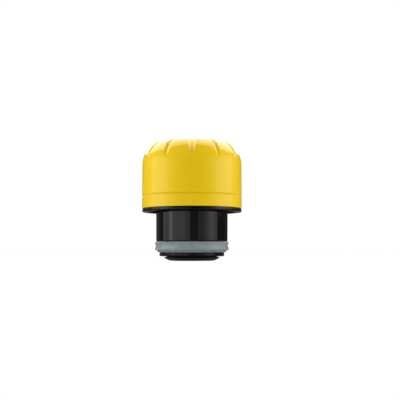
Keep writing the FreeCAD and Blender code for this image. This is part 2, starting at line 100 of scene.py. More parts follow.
def arc_rows(centre: Row, radius: float, start: float, end: float, steps: int) -> list[Row]:
    """Points along an arc.

    Args:
        centre: The arc's centre as (radius, height).
        radius: The arc's own radius.
        start: The first angle in degrees, from the outward direction towards up.
        end: The last angle in degrees.
        steps: How many stretches the arc is divided into.

    Returns:
        The points from start to end, both included.
    """
    angles = np.radians(np.linspace(start, end, steps + 1))
    return [(centre[0] + radius * math.cos(a), centre[1] + radius * math.sin(a)) for a in angles]


def round_corner(before: Row, corner: Corner, after: Row, steps: int) -> list[Row]:
    """The points that round one corner of an outline.

    Args:
        before: The outline's point before the corner.
        corner: The corner, with its blend radius.
        after: The outline's point after the corner.
        steps: How many stretches the rounding is divided into.

    Returns:
        The rounding's points, or the corner itself where its blend is 0.
    """
    here = np.array((corner.radius, corner.height))
    if corner.blend <= 0:
        return [(corner.radius, corner.height)]
    back = np.array(before) - here
    onward = np.array(after) - here
    back_length, onward_length = np.linalg.norm(back), np.linalg.norm(onward)
    back, onward = back / back_length, onward / onward_length
    half = math.acos(float(np.clip(back @ onward, -1, 1))) / 2
    reach = min(corner.blend / math.tan(half), LONGEST_ROUNDING * min(back_length, onward_length))
    radius = reach * math.tan(half)
    middle = (back + onward) / np.linalg.norm(back + onward)
    centre = here + middle * radius / math.sin(half)
    first, last = here + back * reach - centre, here + onward * reach - centre
    start = math.atan2(first[1], first[0])
    sweep = math.atan2(first[0] * last[1] - first[1] * last[0], float(first @ last))
    return arc_rows(tuple(centre), radius, math.degrees(start), math.degrees(start + sweep), steps)


def rounded(corners: Sequence[Corner], steps: int = 5) -> list[Row]:
    """An open outline with all but its first and last corners rounded.

    Args:
        corners: The corners in order, going round the solid anticlockwise.
        steps: How many stretches each rounding is divided into.

    Returns:
        The outline's points.
    """
    ends = [(corner.radius, corner.height) for corner in corners]
    rows = ends[:1]
    for before, corner, after in zip(ends, corners[1:], ends[2:]):
        rows += round_corner(before, corner, after, steps)
    return rows + ends[-1:]


def hold_edges(
    rows: Sequence[Row], closed: bool = False, margin: float = 0.12, long: float = 0.6
) -> list[Row]:
    """Adds a point near each end of every long straight stretch, so that shading stays flat along it.

    Args:
        rows: The outline's points.
        closed: Whether the last point joins the first.
        margin: How far the added points stand from the stretch's ends.
        long: The shortest stretch that gets them.

    Returns:
        The outline with the added points.
    """
    held: list[Row] = []
    count = len(rows)
    for index, row in enumerate(rows):
        held.append(row)
        if index == count - 1 and not closed:
            break
        start, end = np.array(row), np.array(rows[(index + 1) % count])
        length = float(np.linalg.norm(end - start))
        if length > long:
            step = (end - start) * margin / length
            held += [tuple(start + step), tuple(end - step)]
    return held


def mesh_object(name: str, points: np.ndarray, faces: Sequence[Sequence[int]]) -> Piece:
    """A smooth-shaded object from points in millimetres.

    Args:
        name: The object's name.
        points: One point a row.
        faces: The corners of each face, as indices into points.

    Returns:
        The new object, linked to the scene, at the origin.
    """
    mesh = bpy.data.meshes.new(name)
    mesh.from_pydata((points * MM).tolist(), [], faces)
    mesh.validate()
    mesh.shade_smooth()
    made = bpy.data.objects.new(name, mesh)
    bpy.context.scene.collection.objects.link(made)
    return made


def turned(
    name: str, rows: Sequence[Row], fullness: Fullness = Fullness.MAIN, closed: bool = False
) -> Piece:
    """A piece turned about the lid's axis.

    Args:
        name: The piece's name.
        rows: Its outline, anticlockwise round the solid. An open one starts and ends on the axis.
        fullness: How finely it is divided round the axis.
        closed: Whether the outline is a loop clear of the axis.

    Returns:
        The piece.
    """
    columns = fullness.value
    angles = np.linspace(0, math.tau, columns, endpoint=False)
    points: list[tuple[float, float, float]] = []
    rings: list[list[int]] = []
    for radius, height in rows:
        start = len(points)
        if radius < AXIS_REACH:
            points.append((0.0, 0.0, height))
            rings.append([start] * columns)
        else:
            points += [(radius * math.cos(a), radius * math.sin(a), height) for a in angles]
            rings.append(list(range(start, start + columns)))
    if closed:
        rings.append(rings[0])
    faces: list[tuple[int, ...]] = []
    for low, high in zip(rings, rings[1:]):
        for column in range(columns):
            after = (column + 1) % columns
            loop = (low[column], low[after], high[after], high[column])
            face = tuple(dict.fromkeys(loop))
            if len(face) > 2:
                faces.append(face)
    return mesh_object(name, np.array(points), faces)


# ---- Geometry Nodes ----


def add_node(tree: Tree, kind: str, links: dict | None = None, **settings) -> bpy.types.Node:
    """Adds one node with its settings and its inputs.

    Args:
        tree: The node tree that gets it.
        kind: The node's type.
        links: What feeds each input (a socket, or a node by its first output) or the input's value.
        **settings: The node's own properties.

    Returns:
        The node.
    """
    node = tree.nodes.new(kind)
    for key, setting in settings.items():
        setattr(node, key, setting)
    for key, source in (links or {}).items():
        if isinstance(source, bpy.types.Node):
            source = source.outputs[0]
        if isinstance(source, Socket):
            tree.links.new(source, node.inputs[key])
        else:
            node.inputs[key].default_value = source
    return node


def calc(tree: Tree, operation: str, first: object, second: object) -> Socket:
    """The result of a Math node.

    Args:
        tree: The node tree.
        operation: What the node does.
        first: Its first number, or the socket that gives it.
        second: Its second number, or the socket that gives it.

    Returns:
        The node's result.
    """
    return add_node(tree, "ShaderNodeMath", {0: first, 1: second}, operation=operation).outputs[0]


class Rig:
    """A Geometry Nodes modifier whose result becomes a plain mesh."""

    KINDS: ClassVar[dict[type, str]] = {
        int: "NodeSocketInt",
        float: "NodeSocketFloat",
        Material: "NodeSocketMaterial",
    }

    def __init__(self, name: str, inputs: dict[str, int | float | Material]) -> None:
        """Starts a tree.

        Args:
            name: The tree's name.
            inputs: The value of each input, by its name.
        """
        self.tree = bpy.data.node_groups.new(name, "GeometryNodeTree")
        self.values: dict[str, int | float | Material] = {}
        face = self.tree.interface
        face.new_socket("Geometry", in_out="OUTPUT", socket_type="NodeSocketGeometry")
        face.new_socket("Geometry", in_out="INPUT", socket_type="NodeSocketGeometry")
        for label, value in inputs.items():
            socket = face.new_socket(label, in_out="INPUT", socket_type=self.KINDS[type(value)])
            self.values[socket.identifier] = value
        self.source = self.tree.nodes.new("NodeGroupInput")

    def close(self, geometry: bpy.types.Node, material: Socket) -> None:
        """Ends the tree in Realize Instances and Set Material.

        Args:
            geometry: The node that gives the finished geometry.
            material: The socket that gives its material.
        """
        whole = add_node(self.tree, "GeometryNodeRealizeInstances", {"Geometry": geometry})
        dressed = add_node(self.tree, "GeometryNodeSetMaterial", {"Geometry": whole, "Material": material})
        add_node(self.tree, "NodeGroupOutput", {0: dressed})

    def run(self, piece: Piece) -> Piece:
        """Runs the tree on a piece and leaves it the result as its mesh.

        Args:
            piece: The object that the modifier works on.

        Returns:
            The same object, with no modifier.
        """
        modifier = piece.modifiers.new(self.tree.name, "NODES")
        modifier.node_group = self.tree
        for identifier, value in self.values.items():
            modifier[identifier] = value
        graph = bpy.context.evaluated_depsgraph_get()
        graph.update()
        mesh = bpy.data.meshes.new_from_object(piece.evaluated_get(graph), depsgraph=graph)
        piece.modifiers.remove(modifier)
        old = piece.data
        piece.data = mesh
        mesh.name = piece.name
        if isinstance(old, bpy.types.Mesh):
            bpy.data.meshes.remove(old)
        return piece


# ---- Finishes ----


def linear(colour: str) -> tuple[float, float, float, float]:
    """An sRGB hex colour as the linear colour that shaders take.

    Args:
        colour: The colour, such as #FFFFFF.

    Returns:
        Its red, green and blue, and 1 for its alpha.
    """
    channels = [int(colour[i : i + 2], 16) / 255 for i in (1, 3, 5)]
    curved = [c / 12.92 if c <= 0.04045 else ((c + 0.055) / 1.055) ** 2.4 for c in channels]
    return (*curved, 1.0)


def start_material(
    name: str, kind: str = "ShaderNodeBsdfPrincipled"
) -> tuple[Material, Tree, bpy.types.Node]:
    """A new material.

    Args:
        name: The material's name.
        kind: The type of its last shader.

    Returns:
        The material, its tree and its last shader.
    """
    material = bpy.data.materials.new(name)
    material.use_nodes = True
    tree = material.node_tree
    tree.nodes.clear()
    shader = add_node(tree, kind)
    add_node(tree, "ShaderNodeOutputMaterial", {"Surface": shader.outputs[0]})
    return material, tree, shader


@dataclass(frozen=True)
class Finish:
    """How the surface of a real material looks.

    Attributes:
        name: What the material is.
        colours: The hex colours where its pattern is low and where it is high.
        roughness: The roughness there, or none for an even one.
        grain_size: The size of the pattern's grains in millimetres.
        detail: How many finer layers the pattern has, or none for the seams of fused beads.
        height: How far the pattern stands out, in millimetres.
        even: The shader's inputs that are the same all over, with their values.
    """

    name: str
    colours: tuple[str, str]
    roughness: tuple[float, float] | None
    grain_size: float
    detail: float | None
    height: float
    even: tuple[tuple[str, float], ...]

    def pattern(self, tree: Tree) -> Socket:
        """The pattern over the piece's own coordinates.

        Args:
            tree: The material's tree.

        Returns:
            The pattern, from 0 to 1.
        """
        place = add_node(tree, "ShaderNodeTexCoord").outputs["Object"]
        links = {"Vector": place, "Scale": 1 / (self.grain_size * MM)}
        if self.detail is None:
            beads = add_node(tree, "ShaderNodeTexVoronoi", links, feature="DISTANCE_TO_EDGE")
            return beads.outputs["Distance"]
        links |= {"Detail": self.detail, "Roughness": NOISE_ROUGHNESS}
        return add_node(tree, "ShaderNodeTexNoise", links).outputs["Fac"]

    def material(self) -> Material:
        """Makes the finish.

        Returns:
            A new material.
        """
        material, tree, shader = start_material(self.name)
        pattern = self.pattern(tree)
        ramp = add_node(tree, "ShaderNodeValToRGB", {"Fac": pattern})
        ends = zip(ramp.color_ramp.elements, (PATTERN_LOW, PATTERN_HIGH), self.colours)
        for end, position, colour in ends:
            end.position = position
            end.color = linear(colour)
        tree.links.new(ramp.outputs["Color"], shader.inputs["Base Color"])
        if self.roughness:
            low, high = self.roughness
            links = {"From Min": PATTERN_LOW, "From Max": PATTERN_HIGH, "To Min": low, "To Max": high}
            spread = add_node(tree, "ShaderNodeMapRange", {"Value": pattern, **links})
            tree.links.new(spread.outputs["Result"], shader.inputs["Roughness"])
        if self.height:
            links = {"Height": pattern, "Strength": 1.0, "Distance": self.height * MM}
            bump = add_node(tree, "ShaderNodeBump", links)
            tree.links.new(bump.outputs["Normal"], shader.inputs["Normal"])
        for key, value in self.even:
            shader.inputs[key].default_value = value
        return material


@dataclass(frozen=True)
class PowderCoat(Finish):
    """Powder coat baked on drawn steel: an even satin colour with a fine orange-peel grain."""

    name: str = "polyester_powder_coat"
    colours: tuple[str, str] = ("#DDB900", "#E1BE00")
    roughness: tuple[float, float] = (0.17, 0.22)
    grain_size: float = 0.45
    detail: float = 2.0
    height: float = 0.003
    even: tuple[tuple[str, float], ...] = (("IOR", 1.42),)


@dataclass(frozen=True)
class GlossPlastic(Finish):
    """Moulded polypropylene: deep gloss from a polished mould, with a slow ripple that bends reflections."""

    name: str = "gloss_polypropylene"
    colours: tuple[str, str] = ("#030304", "#050506")
    roughness: tuple[float, float] = (0.05, 0.08)
    grain_size: float = 6.0
    detail: float = 1.0
    height: float = 0.002
    even: tuple[tuple[str, float], ...] = (("IOR", 1.49),)


@dataclass(frozen=True)
class PolishedPlastic(GlossPlastic):
    """Moulded polypropylene from a plainer mould: a little greyer, and less sharp where it shines."""

    name: str = "polished_polypropylene"
    colours: tuple[str, str] = ("#060607", "#09090A")
    roughness: tuple[float, float] = (0.07, 0.11)


@dataclass(frozen=True)
class NitrileRubber(Finish):
    """Moulded nitrile rubber: dull and nearly black."""

    name: str = "moulded_nitrile_rubber"
    colours: tuple[str, str] = ("#17181A", "#1F2022")
    roughness: tuple[float, float] = (0.55, 0.7)
    grain_size: float = 0.5
    detail: float = 1.0
    height: float = 0.01
    even: tuple[tuple[str, float], ...] = (("IOR", 1.49),)


@dataclass(frozen=True)
class Silicone(Finish):
    """Moulded silicone rubber tinted grey-blue: light passes through its thin lips."""

    name: str = "translucent_silicone"
    colours: tuple[str, str] = ("#8F9B9E", "#9CA7A9")
    roughness: tuple[float, float] = (0.16, 0.24)
    grain_size: float = 2.5
    detail: float = 2.0
    height: float = 0.0
    even: tuple[tuple[str, float], ...] = (("IOR", 1.41), ("Transmission Weight", 0.3))


@dataclass(frozen=True)
class Foam(Finish):
    """Expanded polystyrene: white and matte, with the outlines of its fused beads."""

    name: str = "expanded_polystyrene"
    colours: tuple[str, str] = ("#D8D6D0", "#F2F1EC")
    roughness: None = None
    grain_size: float = 2.2
    detail: None = None
    height: float = 0.15
    even: tuple[tuple[str, float], ...] = (("Roughness", 0.8),)


@dataclass(frozen=True)
class ZincSteel(Finish):
    """Zinc-plated steel of small screws and washers: a bright metal with a faint mottle."""

    name: str = "zinc_plated_steel"
    colours: tuple[str, str] = ("#AEB0B2", "#C4C6C8")
    roughness: tuple[float, float] = (0.25, 0.4)
    grain_size: float = 0.8
    detail: float = 3.0
    height: float = 0.0
    even: tuple[tuple[str, float], ...] = (("Metallic", 1.0),)


def coat(thing: Piece, material: Material) -> None:
    """Gives a piece or a CAD node its one material."""
    thing.data.materials.clear()
    thing.data.materials.append(material)


@dataclass
class Part:
    """A sub-assembly that stands for one CAD node.

    Attributes:
        node: The node.
        slot: The record's material slot that its finish stands for.
        finish: Its finish.
    """

    node: ClassVar[str]
    slot: ClassVar[str]
    finish: Finish

    def __post_init__(self) -> None:
        """Takes the part's place and size from its CAD node."""
        self.low, self.high = (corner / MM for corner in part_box(self.node))
        self.bottom, self.top = self.low.z, self.high.z
        self.measure()

    def measure(self) -> None:
        """Works out the sizes that follow from the node's."""

    def pieces(self, material: Material) -> list[Piece]:
        """The part's pieces, not yet dressed.

        Args:
            material: The part's material.

        Returns:
            The pieces.
        """
        raise NotImplementedError

    def build(self) -> None:
        """Makes the part: dresses its pieces, and makes them ride on the lid and stand for its node."""
        material = self.finish.material()
        for piece in self.pieces(material):
            coat(piece, material)
            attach(piece, BODY)
            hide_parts(self.node)
            LOG.info("%s: %d faces", piece.name, len(piece.data.polygons))


# ---- Cap shell ----


@dataclass
class CapShell(Part):
    """The drawn steel cap: a wall with a rolled groove, a fluted shoulder and a shallow crown."""

    node: ClassVar[str] = "cap_shell"
    slot: ClassVar[str] = "powder_coated_steel"
    finish: Finish = PowderCoat()
    wall: float = 0.5
    wall_height: float = 20.42
    rim_rounding: float = 0.2
    shoulder_radius: float = 10.8
    crown_radius: float = 85.0
    groove_rise: float = 5.65
    groove_radius: float = 0.33
    groove_lip: float = 0.12
    flutes: int = 12
    flute_lean: float = 46.74
    flute_depth: float = 0.8
    flute_sweep: float = 68.0
    bed_radius: float = 14.67
    section_radius: float = 1.75
    edge_softness: float = 0.12
    edge_offsets: tuple[float, ...] = (0.04, 0.09, 0.16, 0.25)
    least_fall: float = 0.2
    deepest_step: float = 1.0
    press_passes: int = 6
    halvings: int = 40
    bed_columns: int = 4
    land_columns: int = 6
    least_edge: float = 1.8
    least_radius: float = 1.0
    search_rows: int = 1800
    dome_rows: tuple[int, int, int] = (6, 36, 26)
    wide_step: float = 0.6
    fine_step: float = 0.15
    inner_rounding: float = 0.12
    wall_margin: float = 0.3
    groove_margin: float = 0.15
    rim_margin: float = 0.35
    weld: float = 0.001

    def measure(self) -> None:
        """Works out the cap's arcs."""
        self.radius = min(-self.low.x, self.high.x, -self.low.y, self.high.y)
        self.shoulder_centre = self.radius - self.shoulder_radius
        self.shoulder_height = self.bottom + self.wall_height
        reach = self.crown_radius - self.shoulder_radius
        self.seam = math.acos(self.shoulder_centre / reach)
        self.crown_centre = self.shoulder_height - reach * math.sin(self.seam)
        self.half_sector = math.pi / self.flutes
        lean = math.radians(self.flute_lean)
        shift = self.bed_radius + self.flute_depth - self.shoulder_radius
        self.bed_centre = (
            self.shoulder_centre - shift * math.cos(lean),
            self.shoulder_height - shift * math.sin(lean),
        )

    def dome_row(self, lean: float, inset: float = 0.0) -> Row:
        """A point of the dome's outline.

        Args:
            lean: The angle of the surface's normal above the level, in radians.
            inset: How far inside the outer surface the point is.

        Returns:
            The point as (radius, height).
        """
        if lean < self.seam:
            arm = self.shoulder_radius - inset
            return self.shoulder_centre + arm * math.cos(lean), self.shoulder_height + arm * math.sin(lean)
        arm = self.crown_radius - inset
        return arm * math.cos(lean), self.crown_centre + arm * math.sin(lean)

    def cutter_distance(self, points: np.ndarray) -> tuple[np.ndarray, np.ndarray]:
        """How far points are from the arc that a flute's section runs along.

        Args:
            points: Points of the flute's own sector, one a row, with X through the flute's middle.

        Returns:
            The distances, and the directions in which they grow.
        """
        across = points[..., 0] - self.bed_centre[0]
        up = points[..., 2] - self.bed_centre[1]
        out = np.hypot(across, up)
        short = out - (self.bed_radius + self.section_radius)
        distance = np.hypot(short, points[..., 1])
        slope = np.stack((short * across / out, points[..., 1], short * up / out), axis=-1)
        swing = np.abs(np.degrees(np.arctan2(up, across)) - self.flute_lean)
        reached = np.where(swing < self.flute_sweep / 2, distance, 2 * self.section_radius)
        return reached, slope / distance[..., None]

    def press_depth(self, points: np.ndarray, normals: np.ndarray) -> np.ndarray:
        """How far the press pushes points of the dome in, with the flute's edges rounded.

        Args:
            points: Points of the unpressed dome in one flute's sector.
            normals: The dome's normals there.

        Returns:
            The depth at each point.
        """
        depth = np.zeros(points.shape[:-1])
        for _ in range(self.press_passes):
            distance, slope = self.cutter_distance(points - depth[..., None] * normals)
            fall = np.maximum(-np.sum(slope * normals, axis=-1), self.least_fall)
            depth = depth + (self.section_radius - distance) / fall
            depth = np.clip(depth, -self.deepest_step, self.deepest_step)
        blend = np.maximum(self.edge_softness - np.abs(depth), 0) / self.edge_softness
        return np.maximum(depth, 0) + blend**2 * self.edge_softness / 4

    def flute_half_angle(self, lean: float) -> float:
        """The angle from a flute's middle to its edge.

        Args:
            lean: The height on the dome, as the angle of its normal.

        Returns:
            The angle in radians, or 0 where there is no flute.
        """
        radius, height = self.dome_row(lean)
        inside, outside = 0.0, self.half_sector
        if self.cutter_distance(np.array((radius, 0.0, height)))[0] >= self.section_radius:
            return 0.0
        for _ in range(self.halvings):
            middle = (inside + outside) / 2
            point = np.array((radius * math.cos(middle), radius * math.sin(middle), height))
            if self.cutter_distance(point)[0] < self.section_radius:
                inside = middle
            else:
                outside = middle
        return inside

    def columns(self, lean: float, radius: float, follow: float) -> np.ndarray:
        """The angles of one row's points across a flute's sector.

        Args:
            lean: The row's height on the dome.
            radius: The row's radius.
            follow: From 0, evenly spread, to 1, gathered along the flute's edges.

        Returns:
            The angles from the sector's middle, from its right side to its left.
        """
        offsets = np.array(self.edge_offsets) / radius
        edge = max(self.flute_half_angle(lean), self.least_edge * offsets[-1])
        bed = np.linspace(0, edge - offsets[-1], self.bed_columns)
        land = np.linspace(edge + offsets[-1], self.half_sector, self.land_columns)
        gathered = np.concatenate((bed, edge - offsets[-2::-1], [edge], edge + offsets[:-1], land))
        even = np.linspace(0, self.half_sector, len(gathered))
        half = even + (gathered - even) * follow
        return np.concatenate((-half[:0:-1], half))

    def dome_leans(self) -> list[tuple[float, float]]:
        """The dome's rows from the wall to the axis.

        Returns:
            For each row, its lean in radians, and from 0 to 1 how closely it follows the flutes.
        """
        tried = np.radians(np.linspace(0, 89.9, self.search_rows))
        cut = [lean for lean in tried if self.flute_half_angle(lean) > 0]
        low, high = cut[0], cut[-1]
        step, fine = math.radians(self.wide_step), math.radians(self.fine_step)
        foot, start, end, crown = low - 5 * step, low + 5 * step, high - 8 * step, high + 4 * fine
        below, along, above = self.dome_rows
        # Rows stand close together where the flutes start and end, and closest at the seam.
        leans = np.concatenate(
            (
                np.linspace(0, foot, below, endpoint=False),
                np.arange(foot, start, step),
                np.linspace(start, end, along, endpoint=False),
                np.arange(end, self.seam - step / 2, step),
                np.arange(self.seam, crown, fine),
                np.linspace(crown, math.pi / 2, above),
            )
        )
        marks = (low - 9 * step, low - 3 * step, crown, high + 20 * fine)
        follows = np.interp(leans, marks, (0, 1, 1, 0))
        return list(zip(leans.tolist(), follows.tolist()))

    def wall_rows(self) -> list[Row]:
        """The outer wall's outline, from under the rim up to the shoulder.

        Returns:
            The outline's points.
        """
        lip, arc = self.groove_lip, self.groove_radius
        height = self.bottom + self.groove_rise
        apart = math.sqrt((arc + lip) ** 2 - lip**2)
        turn = math.degrees(math.atan2(apart, lip))
        edge = self.radius - self.rim_rounding
        rows = arc_rows((edge, self.bottom + self.rim_rounding), self.rim_rounding, -90, 0, 6)
        low, high = height - apart - self.groove_margin, height + apart + self.groove_margin
        rows += [(self.radius, self.bottom + self.rim_margin), (self.radius, low)]
        rows += arc_rows((self.radius - lip, height - apart), lip, 0, turn, 4)
        rows += arc_rows((self.radius, height), arc, 180 + turn, 180 - turn, 14)[1:-1]
        rows += arc_rows((self.radius - lip, height + apart), lip, -turn, 0, 4)
        rows += [(self.radius, high), (self.radius, self.shoulder_height - self.wall_margin)]
        return rows

    def inner_rows(self) -> list[Row]:
        """The inner wall's outline, from the shoulder down to the rim's inner edge.

        Returns:
            The outline's points.
        """
        inner = self.radius - self.wall
        height = self.bottom + self.groove_rise
        bulge = self.groove_radius + self.wall
        turn = math.degrees(math.acos(self.wall / bulge))
        edge = self.inner_rounding
        rows = [(inner, self.shoulder_height - self.wall_margin), (inner, height + bulge)]
        rows += arc_rows((self.radius, height), bulge, 180 - turn, 180 + turn, 10)
        rows += [(inner, height - bulge), (inner, self.bottom + self.wall_margin)]
        rows += arc_rows((inner + edge, self.bottom + edge), edge, 180, 270, 3)
        return rows

    def sector(self) -> Piece:
        """One flute's share of the cap, from the axis inside, round the rim, to the axis outside.

        Returns:
            The sector's piece.
        """
        even = self.columns(0.0, self.radius, 0.0)
        outer: list[np.ndarray] = []
        inner: list[np.ndarray] = []
        for lean, follow in self.dome_leans():
            radius, height = self.dome_row(lean)
            turns = self.columns(lean, max(radius, self.least_radius), follow)
            around = np.stack((np.cos(turns), np.sin(turns), np.zeros_like(turns)), axis=-1)
            points = around * radius + (0, 0, height)
            normals = around * math.cos(lean) + (0, 0, math.sin(lean))
            pressed = points - self.press_depth(points, normals)[:, None] * normals
            outer.append(pressed)
            inner.append(pressed - self.wall * normals)
        ring = np.stack((np.cos(even), np.sin(even), np.zeros_like(even)), axis=-1)
        walls = [ring * radius + (0, 0, height) for radius, height in self.inner_rows() + self.wall_rows()]
        rings = inner[::-1] + walls + outer
        points = np.concatenate([rings[0][:1]] + rings[1:-1] + [rings[-1][:1]])
        width = len(even)
        last = len(points) - 1
        faces: list[tuple[int, ...]] = []
        for column in range(width - 1):
            faces.append((0, 2 + column, 1 + column))
            for row in range(len(rings) - 3):
                start = 1 + row * width + column
                faces.append((start, start + 1, start + 1 + width, start + width))
            start = 1 + (len(rings) - 3) * width + column
            faces.append((start, start + 1, last))
        return mesh_object("cap_skin", points, faces)

    def pieces(self, material: Material) -> list[Piece]:
        """The cap: its sector, repeated round the axis.

        Args:
            material: The cap's material.

        Returns:
            The cap's piece.
        """
        rig = Rig(
            "flutes_round_the_cap",
            {
                "Flutes": self.flutes,
                "Weld": self.weld * MM,
                "Finish": material,
            },
        )
        tree, source = rig.tree, rig.source.outputs
        share = calc(tree, "DIVIDE", math.tau, source["Flutes"])
        index = add_node(tree, "GeometryNodeInputIndex")
        angle = calc(tree, "MULTIPLY", index, share)
        turn = add_node(tree, "FunctionNodeAxisAngleToRotation", {"Axis": (0, 0, 1), "Angle": angle})
        marks = add_node(tree, "GeometryNodePoints", {"Count": source["Flutes"]})
        links = {"Points": marks, "Instance": source["Geometry"], "Rotation": turn}
        placed = add_node(tree, "GeometryNodeInstanceOnPoints", links)
        whole = add_node(tree, "GeometryNodeRealizeInstances", {"Geometry": placed})
        links = {"Geometry": whole, "Distance": source["Weld"]}
        welded = add_node(tree, "GeometryNodeMergeByDistance", links)
        rig.close(welded, source["Finish"])
        return [rig.run(self.sector())]


# ---- Liner ----


@dataclass
class ThreadLiner(Part):
    """The moulded liner: the lip under the cap, the threaded skirt, the roof and the cup above it."""

    node: ClassVar[str] = "thread_liner"
    slot: ClassVar[str] = "liner_plastic"
    finish: Finish = GlossPlastic()
    lip_thickness: float = 1.4
    lip_rounding: float = 0.5
    lip_lead_in: float = 0.3
    lip_inset: float = 0.07
    shell_fit: float = 0.48
    skirt_wall: float = 2.15
    skirt_depth: float = 14.5
    roof_thickness: float = 2.5
    cup_wall: float = 1.6
    collar_radius: float = 16.7
    collar_wall: float = 1.2
    collar_depth: float = 2.0
    thread_depth: float = 0.9
    thread_pitch: float = 4.5
    thread_turns: float = 1.5
    thread_lead: float = 2.9
    thread_root: float = 2.4
    thread_crest: float = 1.1
    thread_bite: float = 0.2
    thread_rounding: float = 0.25
    thread_run_out: float = 0.06
    thread_end: float = 0.02
    thread_steps: int = 200
    edge_steps: int = 4
    groove_rise: float = 7.35
    groove_radius: float = 0.88
    groove_flat: float = 0.4

    def measure(self) -> None:
        """Works out the liner's walls from its lip."""
        self.lip_radius = self.high.x
        self.outside = self.lip_radius - self.shell_fit
        self.skirt = self.outside - self.skirt_wall
        self.roof = self.bottom + self.skirt_depth

    def outline(self) -> list[Row]:
        """The liner's outline, from the axis under the roof, round the lip, to the axis above the roof.

        Returns:
            The outline's points.
        """
        collar = self.collar_radius + self.collar_wall
        lip_top = self.bottom + self.lip_thickness
        cup = self.outside - self.cup_wall
        roof_top = self.roof + self.roof_thickness
        groove = self.bottom + self.groove_rise
        shell = self.lip_radius + self.lip_inset
        reach = math.sqrt(self.groove_radius**2 - (shell - self.outside) ** 2)
        bed = shell - self.groove_radius
        corners = [
            Corner(0, self.roof),
            Corner(self.collar_radius, self.roof, 0.2),
            Corner(self.collar_radius, self.roof - self.collar_depth, 0.3),
            Corner(collar, self.roof - self.collar_depth, 0.3),
            Corner(collar, self.roof, 0.3),
            Corner(self.skirt, self.roof, 0.8),
            Corner(self.skirt, self.bottom + self.lip_lead_in, 0.25),
            Corner(self.skirt + self.lip_lead_in, self.bottom, 0.2),
            Corner(self.lip_radius, self.bottom, self.lip_rounding),
            Corner(self.lip_radius, lip_top, 0.35),
            Corner(self.outside, lip_top, 0.05),
            Corner(self.outside, groove - reach, 0.1),
            Corner(bed, groove - self.groove_flat, 0.3),
            Corner(bed, groove + self.groove_flat, 0.3),
            Corner(self.outside, groove + reach, 0.1),
            Corner(self.outside, self.top, 0.3),
            Corner(cup, self.top, 0.3),
            Corner(cup, roof_top, 0.4),
            Corner(0, roof_top),
        ]
        return hold_edges(rounded(corners, steps=8))

    def thread(self, material: Material) -> Piece:
        """The neck thread, as a ridge swept along a helix with its ends run out into the wall.

        Args:
            material: The liner's material.

        Returns:
            The thread's piece.
        """
        rig = Rig(
            "thread_along_a_helix",
            {
                "Turns": self.thread_turns,
                "Pitch": self.thread_pitch * MM,
                "Root Radius": (self.skirt + self.thread_bite) * MM,
                "Start Height": (self.bottom + self.thread_lead) * MM,
                "Root Width": self.thread_root * MM,
                "Crest Width": self.thread_crest * MM,
                "Depth": (self.thread_depth + self.thread_bite) * MM,
                "Edge Rounding": self.thread_rounding * MM,
                "Run Out": self.thread_run_out,
                "Finish": material,
            },
        )
        tree, source = rig.tree, rig.source.outputs
        links = {
            "Resolution": self.thread_steps,
            "Rotations": source["Turns"],
            "Start Radius": source["Root Radius"],
            "End Radius": source["Root Radius"],
            "Height": calc(tree, "MULTIPLY", source["Turns"], source["Pitch"]),
        }
        helix = add_node(tree, "GeometryNodeCurveSpiral", links)
        half = calc(tree, "MULTIPLY", source["Root Width"], 0.5)
        lift = add_node(tree, "ShaderNodeCombineXYZ", {"Z": calc(tree, "ADD", half, source["Start Height"])})
        links = {"Geometry": helix, "Offset": lift}
        raised = add_node(tree, "GeometryNodeSetPosition", links)
        upright = add_node(tree, "GeometryNodeSetCurveNormal", {"Curve": raised}, mode="Z_UP")
        along = add_node(tree, "GeometryNodeSplineParameter").outputs["Factor"]
        fades: list[Socket] = []
        for way in (along, calc(tree, "SUBTRACT", 1.0, along)):
            links = {"Value": way, "From Max": source["Run Out"]}
            fade = add_node(tree, "ShaderNodeMapRange", links, interpolation_type="SMOOTHSTEP")
            fades.append(fade.outputs[0])
        kept = calc(tree, "MAXIMUM", calc(tree, "MINIMUM", *fades), self.thread_end)
        links = {"Curve": upright, "Radius": kept}
        tapered = add_node(tree, "GeometryNodeSetCurveRadius", links)
        links = {
            "Height": source["Depth"],
            "Bottom Width": source["Root Width"],
            "Top Width": source["Crest Width"],
            "Offset": 0.0,
        }
        section = add_node(tree, "GeometryNodeCurvePrimitiveQuadrilateral", links, mode="TRAPEZOID")
        links = {"Curve": section, "Radius": source["Edge Rounding"], "Count": self.edge_steps}
        softened = add_node(tree, "GeometryNodeFilletCurve", links, mode="POLY")
        shift = add_node(tree, "ShaderNodeCombineXYZ", {"Y": calc(tree, "MULTIPLY", source["Depth"], 0.5)})
        links = {"Geometry": softened, "Translation": shift}
        rooted = add_node(tree, "GeometryNodeTransform", links)
        links = {"Curve": tapered, "Profile Curve": rooted, "Fill Caps": True}
        ridge = add_node(tree, "GeometryNodeCurveToMesh", links)
        smooth = add_node(tree, "GeometryNodeSetShadeSmooth", {"Geometry": ridge})
        rig.close(smooth, source["Finish"])
        return rig.run(mesh_object("neck_thread", np.zeros((1, 3)), []))

    def pieces(self, material: Material) -> list[Piece]:
        """The liner's turned body and its thread."""
        return [turned("liner_body", self.outline()), self.thread(material)]


# ---- Plug ----


